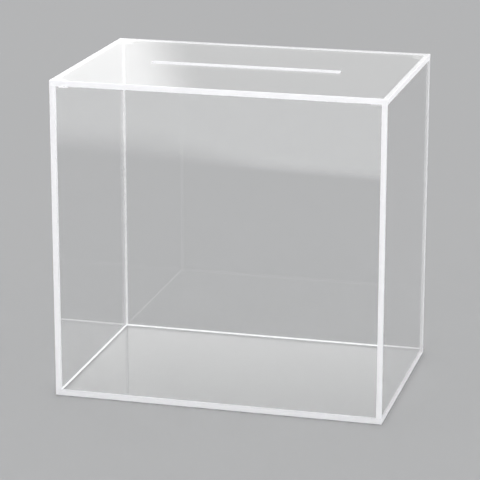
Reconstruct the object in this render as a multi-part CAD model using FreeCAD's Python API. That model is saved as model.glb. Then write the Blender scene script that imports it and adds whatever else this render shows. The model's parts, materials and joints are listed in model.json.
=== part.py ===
"""Clear acrylic donation box: five bonded sheets make the box, and a slotted lid lifts off it.

Millimetres. The origin is the middle of the underside, +Z is up and the front faces -Y.
"""

import FreeCAD, Part
import os

# Driving dimensions
BOX_WIDTH = 310.0
BOX_DEPTH = 210.0
BOX_HEIGHT = 300.0
SHEET = 5.0
SLOT_LENGTH = 180.0
SLOT_WIDTH = 8.0
SLOT_CORNER_RADIUS = 1.5
EDGE_BREAK = 0.4
LOCATOR_LEG = 10.0
LOCATOR_TIP = 4.0
LOCATOR_CORNER = 1.5
LOCATOR_THICKNESS = 2.0
LOCATOR_CLEARANCE = 0.5

# Places that follow from them
HALF_WIDTH = BOX_WIDTH / 2
HALF_DEPTH = BOX_DEPTH / 2
INNER_WIDTH = BOX_WIDTH - 2 * SHEET
INNER_DEPTH = BOX_DEPTH - 2 * SHEET
WALL_HEIGHT = BOX_HEIGHT - 2 * SHEET
LID_UNDERSIDE = BOX_HEIGHT - SHEET
TOLERANCE = 1e-3


def sheet(width, depth, height, middle_x=0.0, middle_y=0.0, bottom=0.0):
    """One plain rectangular sheet, standing on or lying at the height bottom."""
    corner = FreeCAD.Vector(middle_x - width / 2, middle_y - depth / 2, bottom)
    return Part.makeBox(width, depth, height, corner)


def outer_planes(point):
    """How many of the box's six outer faces a point lies on."""
    distances = (
        abs(point.x) - HALF_WIDTH,
        abs(point.y) - HALF_DEPTH,
        point.z,
        point.z - BOX_HEIGHT,
    )
    return sum(abs(distance) < TOLERANCE for distance in distances)


def broken(shape, chosen):
    """The shape with the sharp corner of each chosen edge scraped off."""
    edges = [edge for edge in shape.Edges if chosen(edge.CenterOfMass)]
    return shape.makeChamfer(EDGE_BREAK, edges)


def base_panel():
    """The bottom sheet, under all four walls."""
    plate = sheet(BOX_WIDTH, BOX_DEPTH, SHEET)
    return broken(plate, lambda middle: outer_planes(middle) == 2)


def side_panel(side):
    """A side wall, the full depth of the box. side is -1 for the left and 1 for the right."""
    wall = sheet(SHEET, BOX_DEPTH, WALL_HEIGHT, side * (HALF_WIDTH - SHEET / 2), 0.0, SHEET)
    return broken(wall, lambda middle: outer_planes(middle) == 2)


def cross_panel(side):
    """The front wall for side -1 or the back wall for side 1, fitted between the side walls."""
    return sheet(INNER_WIDTH, SHEET, WALL_HEIGHT, 0.0, side * (HALF_DEPTH - SHEET / 2), SHEET)


def slot_cutter():
    """A bar through the lid with the slot's outline and its small corner radii."""
    bar = sheet(SLOT_LENGTH, SLOT_WIDTH, 3 * SHEET, 0.0, 0.0, LID_UNDERSIDE - SHEET)
    uprights = [edge for edge in bar.Edges if abs(edge.tangentAt(edge.FirstParameter).z) > 0.5]
    return bar.makeFillet(SLOT_CORNER_RADIUS, uprights)


def lid_panel():
    """The top sheet, which lies loose on the walls, with the slot through its middle."""
    plate = sheet(BOX_WIDTH, BOX_DEPTH, SHEET, 0.0, 0.0, LID_UNDERSIDE).cut(slot_cutter())

    def on_a_rim(middle):
        level = abs(middle.z - BOX_HEIGHT) < TOLERANCE or abs(middle.z - LID_UNDERSIDE) < TOLERANCE
        return level or outer_planes(middle) == 2

    return broken(plate, on_a_rim)


def lid_locator(side_x, side_y):
    """A corner piece bonded under the lid, which keeps the lid square on the box.

    It is a square block whose inner corner is cut away. The corner that points into the box's
    own corner is cut back a little, so that it clears the bond there.
    """
    outline = (
        (LOCATOR_CORNER, 0.0),
        (LOCATOR_LEG, 0.0),
        (LOCATOR_LEG, LOCATOR_TIP),
        (LOCATOR_TIP, LOCATOR_LEG),
        (0.0, LOCATOR_LEG),
        (0.0, LOCATOR_CORNER),
    )
    corner_x = INNER_WIDTH / 2 - LOCATOR_CLEARANCE
    corner_y = INNER_DEPTH / 2 - LOCATOR_CLEARANCE
    bottom = LID_UNDERSIDE - LOCATOR_THICKNESS
    points = [
        FreeCAD.Vector(side_x * (corner_x - inward_x), side_y * (corner_y - inward_y), bottom)
        for inward_x, inward_y in outline
    ]
    face = Part.Face(Part.makePolygon(points + points[:1]))
    return face.extrude(FreeCAD.Vector(0.0, 0.0, LOCATOR_THICKNESS))


def make_parts():
    """Every separate piece by name."""
    parts = {
        "base_panel": base_panel(),
        "left_panel": side_panel(-1),
        "right_panel": side_panel(1),
        "front_panel": cross_panel(-1),
        "back_panel": cross_panel(1),
        "lid_panel": lid_panel(),
    }
    for name_y, side_y in (("front", -1), ("back", 1)):
        for name_x, side_x in (("left", -1), ("right", 1)):
            parts[f"lid_locator_{name_y}_{name_x}"] = lid_locator(side_x, side_y)
    return parts


os.makedirs("parts", exist_ok=True)
for name, shape in make_parts().items():
    solid = shape.Solids[0]
    if len(shape.Solids) != 1 or not solid.isValid():
        raise ValueError(f"{name} is not one valid solid")
    solid.exportStep(f"parts/{name}.step")
    print(f"{name}: {solid.Volume / 1000:.1f} cm3")
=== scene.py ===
"""Looks of the clear acrylic donation box, its stage and its camera.

Metres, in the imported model's frame.
"""

import json
import math

import bmesh
import bpy
from mathutils import Matrix, Vector


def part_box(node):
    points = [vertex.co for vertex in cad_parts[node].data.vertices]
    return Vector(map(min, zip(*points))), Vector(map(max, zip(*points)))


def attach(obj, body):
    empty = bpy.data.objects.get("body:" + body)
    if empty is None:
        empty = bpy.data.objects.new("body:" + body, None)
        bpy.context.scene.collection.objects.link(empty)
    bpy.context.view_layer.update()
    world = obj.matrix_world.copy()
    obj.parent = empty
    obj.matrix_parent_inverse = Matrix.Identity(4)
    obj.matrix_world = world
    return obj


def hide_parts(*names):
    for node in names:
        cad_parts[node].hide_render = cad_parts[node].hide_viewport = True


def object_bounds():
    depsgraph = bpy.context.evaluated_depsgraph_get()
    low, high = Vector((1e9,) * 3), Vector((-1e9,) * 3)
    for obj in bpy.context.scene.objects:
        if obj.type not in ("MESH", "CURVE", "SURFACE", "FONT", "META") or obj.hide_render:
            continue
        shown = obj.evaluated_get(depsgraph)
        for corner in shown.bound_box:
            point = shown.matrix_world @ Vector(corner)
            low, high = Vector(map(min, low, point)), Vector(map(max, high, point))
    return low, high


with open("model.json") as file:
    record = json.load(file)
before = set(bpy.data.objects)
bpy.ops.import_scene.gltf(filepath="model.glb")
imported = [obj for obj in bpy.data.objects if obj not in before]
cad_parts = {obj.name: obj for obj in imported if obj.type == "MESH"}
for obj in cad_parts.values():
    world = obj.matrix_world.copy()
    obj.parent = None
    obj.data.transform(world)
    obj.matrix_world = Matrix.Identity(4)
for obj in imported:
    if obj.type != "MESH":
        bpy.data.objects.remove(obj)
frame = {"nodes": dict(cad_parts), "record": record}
cad_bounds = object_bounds()

MM = 0.001
X, Y, Z = 0, 1, 2

# The lid's slot, as cut
SLOT_LENGTH = 180 * MM
SLOT_WIDTH = 8 * MM
SLOT_CORNER_RADIUS = 1.5 * MM
SLOT_CORNER_STEPS = 5

# The scraped corners of the sheets. A weight is a share of the full break.
EDGE_BREAK = 0.4 * MM
BEVEL_STEPS = 3
OUTER_WEIGHT = 1.0
SLOT_WEIGHT = 0.75
HIDDEN_WEIGHT = 0.2

# Angles between two faces: from which an edge is scraped, from which it is shaded as sharp, and up
# to which the faces count as one
SCRAPED_ANGLE = math.radians(60.0)
SHARP_ANGLE = math.radians(40.0)
FLAT_ANGLE = math.radians(1.0)

# The air that is left where two sheets meet
BOND_GAP = 0.04 * MM

# The lid's corner pieces: the outer corner's cut, and the width left at each tip
LOCATOR_CORNER = 1.5 * MM
LOCATOR_TIP = 4 * MM
LOCATOR_BEVEL_STEPS = 2

# Beads of set cement. The hollow is a share of the leg.
FOOT_BEAD_LEG = 0.9 * MM
CORNER_BEAD_LEG = 1.6 * MM
BEAD_HOLLOW = 0.13
BEAD_STEPS = 4

# Where most of a noise texture's values lie
NOISE_RANGE = (0.3, 0.7)

# Polished faces. Wiping marks raise the roughness where their noise is in the given range, and the
# waves are long and slight. Every noise scale is in repeats per metre.
ACRYLIC_COLOUR = (0.998, 0.999, 0.999, 1.0)
ACRYLIC_IOR = 1.49
WIPE_SCALE = 14.0
WIPE_RANGE = (0.45, 0.75)
WIPE_ROUGHNESS = (0.0, 0.035)
WAVE_SCALE = 9.0
WAVE_STRENGTH = 0.01
WAVE_HEIGHT = 1.0 * MM

# Sawn edges: two pale shades in clouds, and fine marks that are stretched out across the sheet's
# thickness. The last value is the share of the light that goes through.
EDGE_COLOURS = ((0.975, 0.975, 0.99, 1.0), (0.99, 0.99, 1.0, 1.0))
EDGE_CLOUD_SCALE = 60.0
SAW_SCALE = 1400.0
SAW_STRETCH = 0.04
SAW_ROUGHNESS = (0.35, 0.6)
SAW_STRENGTH = 0.25
SAW_DEPTH = 0.05 * MM
EDGE_THROUGH = 0.45

# Set cement: slightly greyer shades in small clouds
CEMENT_COLOURS = ((0.82, 0.82, 0.83, 1.0), (0.90, 0.90, 0.91, 1.0))
CEMENT_CLOUD_SCALE = 220.0
CEMENT_CLOUD_RANGE = (0.35, 0.65)
CEMENT_ROUGHNESS = (0.25, 0.45)
CEMENT_STRENGTH = 0.3
CEMENT_DEPTH = 0.1 * MM

# Floor
FLOOR_REACH = 12.0
FLOOR_DROP = 0.3 * MM
FLOOR_COLOUR = (0.258, 0.26, 0.263, 1.0)
FLOOR_TOOTH_SCALE = 300.0
FLOOR_TOOTH_STRENGTH = 0.05
FLOOR_TOOTH_DEPTH = 0.2 * MM

# Camera
CAMERA_AZIMUTH = math.radians(14.73)
CAMERA_ELEVATION = math.radians(15.9)
CAMERA_ROLL = math.radians(0.07)
CAMERA_DISTANCE = 2.106
CAMERA_LENS = 167.25
CAMERA_SENSOR = 36.0
CAMERA_REACH = 50.0
AIM_RIGHT = -4.6 * MM
AIM_UP = -16.3 * MM

# The studio's light, as radiance by direction. A height is the sine of the angle above the
# horizon, and the backdrop's sides are cosines of the angle away from +Y. Behind the box, the
# plain backdrop brightens to a glow, dims above it, and gives way to the ceiling. Elsewhere the
# light below the ceiling is even.
BACKDROP_LEVEL = 0.88
BACKDROP_TOP = 0.225
BACKDROP_SIDES = (0.85, 0.55)
GLOW_LEVEL = 1.5
GLOW_HEIGHT = 0.305
GLOW_TOP = 0.355
ABOVE_GLOW_LEVEL = 0.95
ROUND_LEVEL = 0.9
CEILING_LEVEL = 2.68
CEILING_FOOT = 0.37
CEILING_HEIGHT = 0.65

# The softbox low behind the box. A sideways place is x / y of the direction, and its near side
# leans by the skew as it rises. Each pair runs from dark to full light.
SOFTBOX_LEVEL = 1.7
SOFTBOX_SKEW = 0.41
SOFTBOX_EDGE = 0.382
SOFTBOX_FADE = 0.018
SOFTBOX_FAR_SIDE = (-1.1, -0.9)
SOFTBOX_FOOT = (0.05, 0.10)
SOFTBOX_TOP = (0.30, 0.26)
SOFTBOX_BEHIND = (0.0, 0.1)
LEAST_DIVISOR = 0.001

# The glowing card on the floor in front of the box. Its light fades in from its near edge: over
# the first of the two depths to the left of the first place, over the second to the right of the
# second place, and over a depth that changes evenly in between.
FRONT_CARD_HALF_WIDTH = 2.5
FRONT_CARD_THICKNESS = 2.0 * MM
FRONT_CARD_FAR = -4.0
FRONT_CARD_NEAR = -0.955
FRONT_CARD_FADES = (0.25, 0.08)
FRONT_CARD_FADE_PLACES = (-0.46, -0.27)
FRONT_CARD_LEVEL = 3.4
FRONT_CARD_TURN = math.radians(4.8)

# How often light may pass or mirror at clear faces, scatter in frosted edges and cross open air
CLEAR_BOUNCES = 160
EDGE_BOUNCES = 40
OPEN_BOUNCES = 24


# Node helpers


def new_material(name):
    """An empty node material with its output node."""
    material = bpy.data.materials.new(name)
    material.use_nodes = True
    tree = material.node_tree
    tree.nodes.clear()
    output = tree.nodes.new("ShaderNodeOutputMaterial")
    return material, tree, output


def add_node(tree, kind, values, **settings):
    """A new node. Each value goes to the named or numbered input, and an output is linked there."""
    node = tree.nodes.new(kind)
    for name, setting in settings.items():
        setattr(node, name, setting)
    for name, value in values.items():
        if isinstance(value, bpy.types.NodeSocket):
            tree.links.new(value, node.inputs[name])
        else:
            node.inputs[name].default_value = value
    return node


def object_place(tree):
    """Where a point is on its own object, in metres."""
    return tree.nodes.new("ShaderNodeTexCoord").outputs["Object"]


def split_axes(tree, source):
    """The x, y and z outputs of a vector output."""
    split = add_node(tree, "ShaderNodeSeparateXYZ", {"Vector": source})
    return [split.outputs[axis] for axis in "XYZ"]


def noise_texture(tree, source, scale, detail=2.0, roughness=0.5):
    """A noise texture on a coordinate output. scale is in repeats per metre."""
    values = {"Vector": source, "Scale": scale, "Detail": detail, "Roughness": roughness}
    return add_node(tree, "ShaderNodeTexNoise", values).outputs["Fac"]


def map_range(tree, source, low, high, to_low, to_high, **settings):
    """A value carried from one range to another, held at both ends."""
    node = add_node(tree, "ShaderNodeMapRange", {
        "Value": source,
        "From Min": low,
        "From Max": high,
        "To Min": to_low,
        "To Max": to_high,
    }, **settings)
    return node.outputs["Result"]


def soft_step(tree, source, low, high):
    """Rises smoothly from 0 at low to 1 at high, or falls where low is above high."""
    return map_range(tree, source, low, high, 0.0, 1.0, interpolation_type="SMOOTHSTEP")


def bump(tree, height, strength, distance):
    """A bump normal from a height output. distance is in metres."""
    values = {"Height": height, "Strength": strength, "Distance": distance}
    return add_node(tree, "ShaderNodeBump", values).outputs["Normal"]


def math_node(tree, operation, first, second):
    """One sum on two values, each an output or a plain number."""
    return add_node(tree, "ShaderNodeMath", {0: first, 1: second}, operation=operation).outputs[0]


def mixed(tree, factor, first, second, kind="FLOAT"):
    """Goes from first, at a factor of 0, to second, at a factor of 1. Colours are of kind RGBA."""
    values = {"Factor": factor, "A": first, "B": second}
    return add_node(tree, "ShaderNodeMix", values, data_type=kind).outputs["Result"]


def clouded(tree, noise, limits, colours):
    """A colour that goes from the first to the second as the noise goes through its limits."""
    return mixed(tree, map_range(tree, noise, *limits, 0.0, 1.0), *colours, kind="RGBA")


# Materials


def clear_acrylic(name):
    """Polished cast sheet: clear, very slightly wavy, with faint wiping marks."""
    material, tree, output = new_material(name)
    place = object_place(tree)
    wiped = noise_texture(tree, place, WIPE_SCALE, detail=4.0, roughness=0.6)
    wave = noise_texture(tree, place, WAVE_SCALE, detail=1.0)
    glass = add_node(tree, "ShaderNodeBsdfPrincipled", {
        "Base Color": ACRYLIC_COLOUR,
        "Transmission Weight": 1.0,
        "IOR": ACRYLIC_IOR,
        "Roughness": map_range(tree, wiped, *WIPE_RANGE, *WIPE_ROUGHNESS),
        "Normal": bump(tree, wave, WAVE_STRENGTH, WAVE_HEIGHT),
    })
    tree.links.new(glass.outputs[0], output.inputs["Surface"])
    return material


def sawn_edge(name):
    """The cut edge of the sheet: pale and frosted, with fine saw marks across its thickness."""
    material, tree, output = new_material(name)
    along = tree.nodes.new("ShaderNodeUVMap")
    along.uv_map = "grain"
    stretch = add_node(tree, "ShaderNodeMapping", {
        "Vector": along.outputs["UV"],
        "Scale": (1.0, SAW_STRETCH, 1.0),
    })
    saw = noise_texture(tree, stretch.outputs["Vector"], SAW_SCALE, detail=3.0, roughness=0.6)
    cloud = noise_texture(tree, object_place(tree), EDGE_CLOUD_SCALE, detail=3.0)
    shade = clouded(tree, cloud, NOISE_RANGE, EDGE_COLOURS)
    surface = add_node(tree, "ShaderNodeBsdfPrincipled", {
        "Base Color": shade,
        "Roughness": map_range(tree, saw, *NOISE_RANGE, *SAW_ROUGHNESS),
        "Normal": bump(tree, saw, SAW_STRENGTH, SAW_DEPTH),
    })
    through = add_node(tree, "ShaderNodeBsdfTranslucent", {"Color": shade})
    mix = add_node(tree, "ShaderNodeMixShader", {
        0: EDGE_THROUGH,
        1: surface.outputs[0],
        2: through.outputs[0],
    })
    tree.links.new(mix.outputs[0], output.inputs["Surface"])
    return material


def set_cement(name):
    """Set solvent cement: pale, a little cloudy, with a soft gloss."""
    material, tree, output = new_material(name)
    cloud = noise_texture(tree, object_place(tree), CEMENT_CLOUD_SCALE, detail=3.0)
    surface = add_node(tree, "ShaderNodeBsdfPrincipled", {
        "Base Color": clouded(tree, cloud, CEMENT_CLOUD_RANGE, CEMENT_COLOURS),
        "Roughness": map_range(tree, cloud, *NOISE_RANGE, *CEMENT_ROUGHNESS),
        "Normal": bump(tree, cloud, CEMENT_STRENGTH, CEMENT_DEPTH),
    })
    tree.links.new(surface.outputs[0], output.inputs["Surface"])
    return material


def floor_paper(name):
    """Plain pale matt paper."""
    material, tree, output = new_material(name)
    tooth = noise_texture(tree, object_place(tree), FLOOR_TOOTH_SCALE, detail=3.0)
    surface = add_node(tree, "ShaderNodeBsdfPrincipled", {
        "Base Color": FLOOR_COLOUR,
        "Roughness": 1.0,
        "Specular IOR Level": 0.0,
        "Normal": bump(tree, tooth, FLOOR_TOOTH_STRENGTH, FLOOR_TOOTH_DEPTH),
    })
    tree.links.new(surface.outputs[0], output.inputs["Surface"])
    return material


# Meshes


def new_object(name, cage, materials):
    """An object in the scene from a bmesh, which is used up."""
    mesh = bpy.data.meshes.new(name)
    cage.to_mesh(mesh)
    cage.free()
    for material in materials:
        mesh.materials.append(material)
    made = bpy.data.objects.new(name, mesh)
    bpy.context.scene.collection.objects.link(made)
    return made


def break_edges(piece, width, steps):
    """The bevel that scrapes the corners off a piece."""
    bevel = piece.modifiers.new("edge_break", "BEVEL")
    bevel.width = width
    bevel.segments = steps
    bevel.harden_normals = True
    return bevel


def box_cage(low, high):
    """A rectangular block as a bmesh."""
    block = bmesh.new()
    bmesh.ops.create_cube(block, size=1.0)
    size = high - low
    bmesh.ops.transform(
        block,
        matrix=Matrix.Translation((low + high) / 2) @ Matrix.Diagonal((*size, 1.0)),
        verts=block.verts,
    )
    return block


def extrude_down(cage, depth):
    """Gives a bmesh of level faces a depth."""
    grown = bmesh.ops.extrude_face_region(cage, geom=cage.faces[:])["geom"]
    lowered = [element for element in grown if isinstance(element, bmesh.types.BMVert)]
    bmesh.ops.translate(cage, vec=(0.0, 0.0, -depth), verts=lowered)


def slot_outline():
    """The slot's outline as x, y points, anticlockwise, with its corners rounded."""
    points = []
    for quarter, (side_x, side_y) in enumerate(((1, 1), (-1, 1), (-1, -1), (1, -1))):
        centre_x = side_x * (SLOT_LENGTH / 2 - SLOT_CORNER_RADIUS)
        centre_y = side_y * (SLOT_WIDTH / 2 - SLOT_CORNER_RADIUS)
        for step in range(SLOT_CORNER_STEPS + 1):
            turn = math.pi / 2 * (quarter + step / SLOT_CORNER_STEPS)
            x = centre_x + SLOT_CORNER_RADIUS * math.cos(turn)
            y = centre_y + SLOT_CORNER_RADIUS * math.sin(turn)
            points.append((x, y))
    return points


def lid_cage(low, high):
    """The lid's plate with the slot through it, as a bmesh."""
    plate = bmesh.new()
    rim = ((low.x, low.y), (high.x, low.y), (high.x, high.y), (low.x, high.y))
    loops = []
    for outline in (rim, slot_outline()):
        ring = [plate.verts.new((x, y, high.z)) for x, y in outline]
        loops += [plate.edges.new((a, b)) for a, b in zip(ring, ring[1:] + ring[:1])]
    bmesh.ops.triangle_fill(plate, use_beauty=True, edges=loops, normal=(0.0, 0.0, 1.0))
    extrude_down(plate, high.z - low.z)
    bmesh.ops.dissolve_limit(
        plate,
        angle_limit=FLAT_ANGLE,
        verts=plate.verts,
        edges=plate.edges,
    )
    bmesh.ops.recalc_face_normals(plate, faces=plate.faces)
    return plate


def locator_cage(low, high):
    """A corner block with its inner corner cut away, as a bmesh, from its CAD outline."""
    side_x = math.copysign(1.0, low.x + high.x)
    side_y = math.copysign(1.0, low.y + high.y)
    corner_x = max(abs(low.x), abs(high.x))
    corner_y = max(abs(low.y), abs(high.y))
    leg = high.x - low.x
    outline = (
        (LOCATOR_CORNER, 0.0),
        (leg, 0.0),
        (leg, LOCATOR_TIP),
        (LOCATOR_TIP, leg),
        (0.0, leg),
        (0.0, LOCATOR_CORNER),
    )
    block = bmesh.new()
    block.faces.new([
        block.verts.new((side_x * (corner_x - across), side_y * (corner_y - deep), high.z))
        for across, deep in outline
    ])
    extrude_down(block, high.z - low.z)
    bmesh.ops.recalc_face_normals(block, faces=block.faces)
    return block


def outer_planes(point):
    """How many of the whole box's six outer faces a point lies on."""
    distances = [abs(point[axis] - corner[axis]) for corner in cad_bounds for axis in (X, Y, Z)]
    return sum(distance < BOND_GAP / 2 for distance in distances)


def edge_weight(edge):
    """How broad an edge's break is, as a share of EDGE_BREAK."""
    if edge.calc_face_angle() < SCRAPED_ANGLE:
        return 0.0
    middle = (edge.verts[0].co + edge.verts[1].co) / 2
    if outer_planes(middle) == 2:
        return OUTER_WEIGHT
    if max(abs(middle.x) - SLOT_LENGTH / 2, abs(middle.y) - SLOT_WIDTH / 2) < BOND_GAP:
        return SLOT_WEIGHT
    return HIDDEN_WEIGHT


def inset(low, high, sides):
    """A box's corners, drawn in by the bond gap on each (axis, end) side that meets a sheet."""
    low, high = low.copy(), high.copy()
    for axis, end in sides:
        if end < 0:
            low[axis] += BOND_GAP
        else:
            high[axis] -= BOND_GAP
    return low, high


# Pieces

# Each sheet's thin axis, and the (axis, end) sides where it meets other sheets
SHEETS = {
    "base_panel": (Z, ()),
    "left_panel": (X, ((Z, -1), (Z, 1))),
    "right_panel": (X, ((Z, -1), (Z, 1))),
    "front_panel": (Y, ((Z, -1), (Z, 1), (X, -1), (X, 1))),
    "back_panel": (Y, ((Z, -1), (Z, 1), (X, -1), (X, 1))),
    "lid_panel": (Z, ()),
}


def body_of_node(node):
    """The name of the CAD body that a node belongs to."""
    bodies = frame["record"]["behaviour"]["bodies"]
    return next(name for name, members in bodies.items() if node in members)


def show_instead(piece, node):
    """Puts a piece in the place of its CAD node, on the same body."""
    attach(piece, body_of_node(node))
    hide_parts(node)


def make_sheet(cage, node, thin, materials):
    """A shown sheet from a bmesh: clear broad faces, sawn edges, broken corners."""
    grain = cage.loops.layers.uv.new("grain")
    for face in cage.faces:
        facing = max((X, Y, Z), key=lambda axis: abs(face.normal[axis]))
        broad = facing == thin
        face.material_index = 0 if broad else 1
        face.smooth = True
        across = (facing + 1) % 3 if broad else thin
        along = 3 - facing - across
        for loop in face.loops:
            loop[grain].uv = (loop.vert.co[along], loop.vert.co[across])
    weights = cage.edges.layers.float.new("bevel_weight_edge")
    for edge in cage.edges:
        edge[weights] = edge_weight(edge)
    piece = new_object(node + "_sheet", cage, materials)
    bevel = break_edges(piece, EDGE_BREAK, BEVEL_STEPS)
    bevel.limit_method = "WEIGHT"
    bevel.material = 1
    show_instead(piece, node)


def make_sheets():
    """Every sheet of the box, in place of its CAD node."""
    materials = (clear_acrylic("acrylic_face"), sawn_edge("acrylic_sawn_edge"))
    for node, (thin, joints) in SHEETS.items():
        low, high = inset(*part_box(node), joints)
        cage = lid_cage(low, high) if node == "lid_panel" else box_cage(low, high)
        make_sheet(cage, node, thin, materials)


def make_locators():
    """The clear corner pieces bonded under the lid, polished all over."""
    material = clear_acrylic("acrylic_polished")
    for node in frame["nodes"]:
        if not node.startswith("lid_locator"):
            continue
        cage = locator_cage(*inset(*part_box(node), ((Z, 1),)))
        piece = new_object(node + "_block", cage, [material])
        break_edges(piece, HIDDEN_WEIGHT * EDGE_BREAK, LOCATOR_BEVEL_STEPS)
        show_instead(piece, node)


def bead_outline(leg):
    """A bead's section as distances from the two faces that it joins. Its front is hollow."""
    points = [(BOND_GAP, BOND_GAP)]
    for step in range(BEAD_STEPS + 1):
        along = step / BEAD_STEPS
        # A parabola: nothing at both ends, and BEAD_HOLLOW of the leg in the middle
        hollow = BEAD_HOLLOW * leg * 4 * along * (1 - along)
        points.append((
            BOND_GAP + leg * (1 - along) - hollow,
            BOND_GAP + leg * along - hollow,
        ))
    return points


def make_bead(name, sections, material):
    """A bead along its sections, each a ring of points, closed by a face at both ends."""
    bead = bmesh.new()
    rings = [[bead.verts.new(point) for point in section] for section in sections]
    for ring, following in zip(rings, rings[1:]):
        for corners in zip(ring, ring[1:] + ring[:1], following[1:] + following[:1], following):
            bead.faces.new(corners)
    bead.faces.new(rings[0])
    bead.faces.new(rings[-1])
    bmesh.ops.recalc_face_normals(bead, faces=bead.faces)
    for face in bead.faces:
        face.smooth = True
    piece = new_object(name, bead, [material])
    piece.data.set_sharp_from_angle(angle=SHARP_ANGLE)
    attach(piece, body_of_node("base_panel"))


def make_beads():
    """The set cement that shows inside: round the foot of three walls and up both back corners."""
    material = set_cement("set_cement")
    left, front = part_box("left_panel")[1].x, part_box("front_panel")[1].y
    right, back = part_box("right_panel")[0].x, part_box("back_panel")[0].y
    base_top, wall_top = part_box("base_panel")[1].z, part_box("back_panel")[1].z

    outline = bead_outline(FOOT_BEAD_LEG)
    make_bead("foot_bead", (
        [(left + inward, front + BOND_GAP, base_top + up) for inward, up in outline],
        [(left + inward, back - inward, base_top + up) for inward, up in outline],
        [(right - inward, back - inward, base_top + up) for inward, up in outline],
        [(right - inward, front + BOND_GAP, base_top + up) for inward, up in outline],
    ), material)

    outline = bead_outline(CORNER_BEAD_LEG)
    for name, corner, inwards in (("left", left, 1.0), ("right", right, -1.0)):
        make_bead("corner_bead_" + name, [
            [(corner + inwards * across, back - deep, height) for across, deep in outline]
            for height in (base_top + BOND_GAP, wall_top - BOND_GAP)
        ], material)


# Stage


def make_floor():
    """A large plain floor just under the box."""
    cage = bmesh.new()
    bmesh.ops.create_grid(cage, x_segments=1, y_segments=1, size=FLOOR_REACH)
    floor = new_object("floor", cage, [floor_paper("floor_paper")])
    floor.location.z = -FLOOR_DROP


def make_world():
    """Soft studio light: a bright ceiling over a dimmer surround, with one softbox low behind."""
    world = bpy.data.worlds.new("studio")
    bpy.context.scene.world = world
    world.use_nodes = True
    tree = world.node_tree
    tree.nodes.clear()
    direction = tree.nodes.new("ShaderNodeTexCoord").outputs["Generated"]
    x, y, z = split_axes(tree, direction)

    backdrop = map_range(tree, z, BACKDROP_TOP, GLOW_HEIGHT, BACKDROP_LEVEL, GLOW_LEVEL)
    dimming = soft_step(tree, z, GLOW_HEIGHT, GLOW_TOP)
    backdrop = mixed(tree, dimming, backdrop, ABOVE_GLOW_LEVEL)
    surround = mixed(tree, soft_step(tree, y, *BACKDROP_SIDES), backdrop, ROUND_LEVEL)
    rise = soft_step(tree, z, CEILING_FOOT, CEILING_HEIGHT)
    room = mixed(tree, rise, surround, CEILING_LEVEL)

    sideways = math_node(tree, "DIVIDE", x, math_node(tree, "MAXIMUM", y, LEAST_DIVISOR))
    skewed = math_node(tree, "SUBTRACT", math_node(tree, "MULTIPLY", z, SOFTBOX_SKEW), sideways)
    softbox = soft_step(tree, skewed, SOFTBOX_EDGE - SOFTBOX_FADE, SOFTBOX_EDGE + SOFTBOX_FADE)
    for source, limits in (
        (sideways, SOFTBOX_FAR_SIDE),
        (z, SOFTBOX_FOOT),
        (z, SOFTBOX_TOP),
        (y, SOFTBOX_BEHIND),
    ):
        softbox = math_node(tree, "MULTIPLY", softbox, soft_step(tree, source, *limits))
    background = add_node(tree, "ShaderNodeBackground", {
        "Strength": mixed(tree, softbox, room, SOFTBOX_LEVEL),
    })
    add_node(tree, "ShaderNodeOutputWorld", {"Surface": background.outputs[0]})


def front_card_glow(name):
    """Even light that fades in from the near edge, over the greatest depth at its left."""
    material, tree, output = new_material(name)
    x, y, _ = split_axes(tree, object_place(tree))
    fade_ends = [FRONT_CARD_NEAR - fade for fade in FRONT_CARD_FADES]
    fade_end = map_range(tree, x, *FRONT_CARD_FADE_PLACES, *fade_ends)
    open_air = tree.nodes.new("ShaderNodeBsdfTransparent")
    glow = add_node(tree, "ShaderNodeEmission", {"Strength": FRONT_CARD_LEVEL})
    mix = add_node(tree, "ShaderNodeMixShader", {
        0: soft_step(tree, y, FRONT_CARD_NEAR, fade_end),
        1: open_air.outputs[0],
        2: glow.outputs[0],
    })
    tree.links.new(mix.outputs[0], output.inputs["Surface"])
    return material


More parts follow.
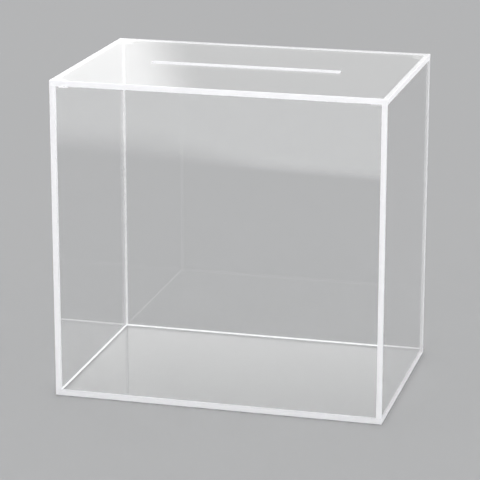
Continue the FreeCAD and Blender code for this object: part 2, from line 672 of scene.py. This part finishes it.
def make_front_card():
    """A glowing card on the floor well in front of the box. The front wall mirrors it."""
    cage = box_cage(
        Vector((-FRONT_CARD_HALF_WIDTH, FRONT_CARD_FAR, 0.0)),
        Vector((FRONT_CARD_HALF_WIDTH, FRONT_CARD_NEAR, FRONT_CARD_THICKNESS)),
    )
    card = new_object("front_card", cage, [front_card_glow("front_card_glow")])
    card.rotation_euler.z = FRONT_CARD_TURN
    card.visible_camera = False
    card.visible_diffuse = False
    card.visible_transmission = False
    card.visible_shadow = False


def make_camera():
    """The camera, aimed a little off the box's middle."""
    low, high = cad_bounds
    back = Vector((
        math.sin(CAMERA_AZIMUTH) * math.cos(CAMERA_ELEVATION),
        -math.cos(CAMERA_AZIMUTH) * math.cos(CAMERA_ELEVATION),
        math.sin(CAMERA_ELEVATION),
    ))
    turn = (-back).to_track_quat("-Z", "Y").to_matrix()
    aim = (low + high) / 2 + turn @ Vector((AIM_RIGHT, AIM_UP, 0.0))
    data = bpy.data.cameras.new("camera")
    data.lens = CAMERA_LENS
    data.sensor_width = CAMERA_SENSOR
    data.clip_end = CAMERA_REACH
    camera = bpy.data.objects.new("camera", data)
    camera.matrix_world = Matrix.Translation(aim + back * CAMERA_DISTANCE) @ (
        turn @ Matrix.Rotation(CAMERA_ROLL, 3, "Z")
    ).to_4x4()
    bpy.context.scene.collection.objects.link(camera)
    bpy.context.scene.camera = camera


def set_light_paths():
    """Plain colours, and light paths long enough to leave a clear box and to light its edges."""
    scene = bpy.context.scene
    scene.view_settings.view_transform = "Standard"
    cycles = scene.cycles
    cycles.caustics_refractive = True
    cycles.caustics_reflective = True
    cycles.blur_glossy = 0.0
    cycles.max_bounces = CLEAR_BOUNCES
    cycles.transmission_bounces = CLEAR_BOUNCES
    cycles.glossy_bounces = CLEAR_BOUNCES
    cycles.diffuse_bounces = EDGE_BOUNCES
    cycles.transparent_max_bounces = OPEN_BOUNCES
    # The automatic pattern leaves a worm-like grain in mirrored light once it is denoised
    cycles.sampling_pattern = "TABULATED_SOBOL"


make_sheets()
make_locators()
make_beads()
make_floor()
make_world()
make_camera()
make_front_card()
set_light_paths()
